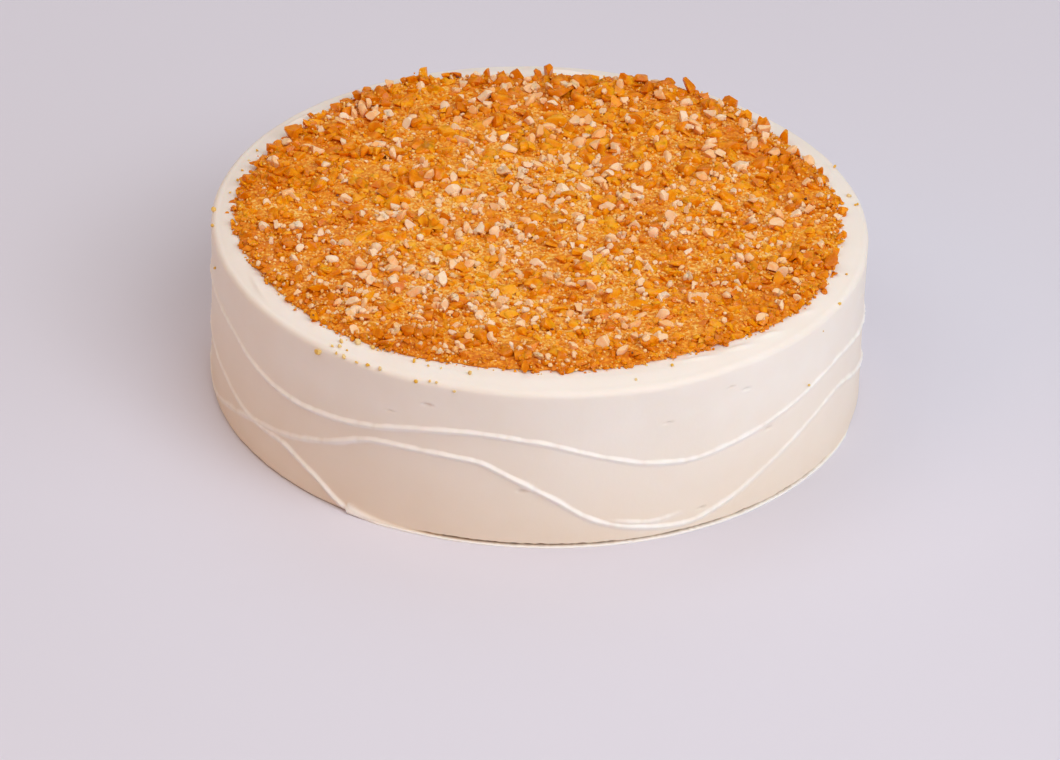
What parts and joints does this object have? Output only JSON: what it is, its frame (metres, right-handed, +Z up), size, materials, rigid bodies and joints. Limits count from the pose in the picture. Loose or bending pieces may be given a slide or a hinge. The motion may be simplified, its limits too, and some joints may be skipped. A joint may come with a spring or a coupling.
{
  "type": "praline cake",
  "caption": "Round uncut cake in cream-coloured buttercream with wavy knife ridges round its side, its top covered in crushed caramel and nut praline.",
  "frame": {"origin": "centre of the flat base, on the surface that the cake stands on", "axes": "+Z up through the middle of the cake, -Y is the front that the picture shows, +X to the right"},
  "size_m": [0.2021, 0.2023, 0.0604],
  "materials": {
    "buttercream": "soft satin cream, stands in for buttercream",
    "praline": "glossy amber, stands in for crushed caramel and nuts"
  },
  "bodies": {
    "root": {"frosted_cake": "buttercream", "praline_topping": "praline"}
  },
  "joints": []
}
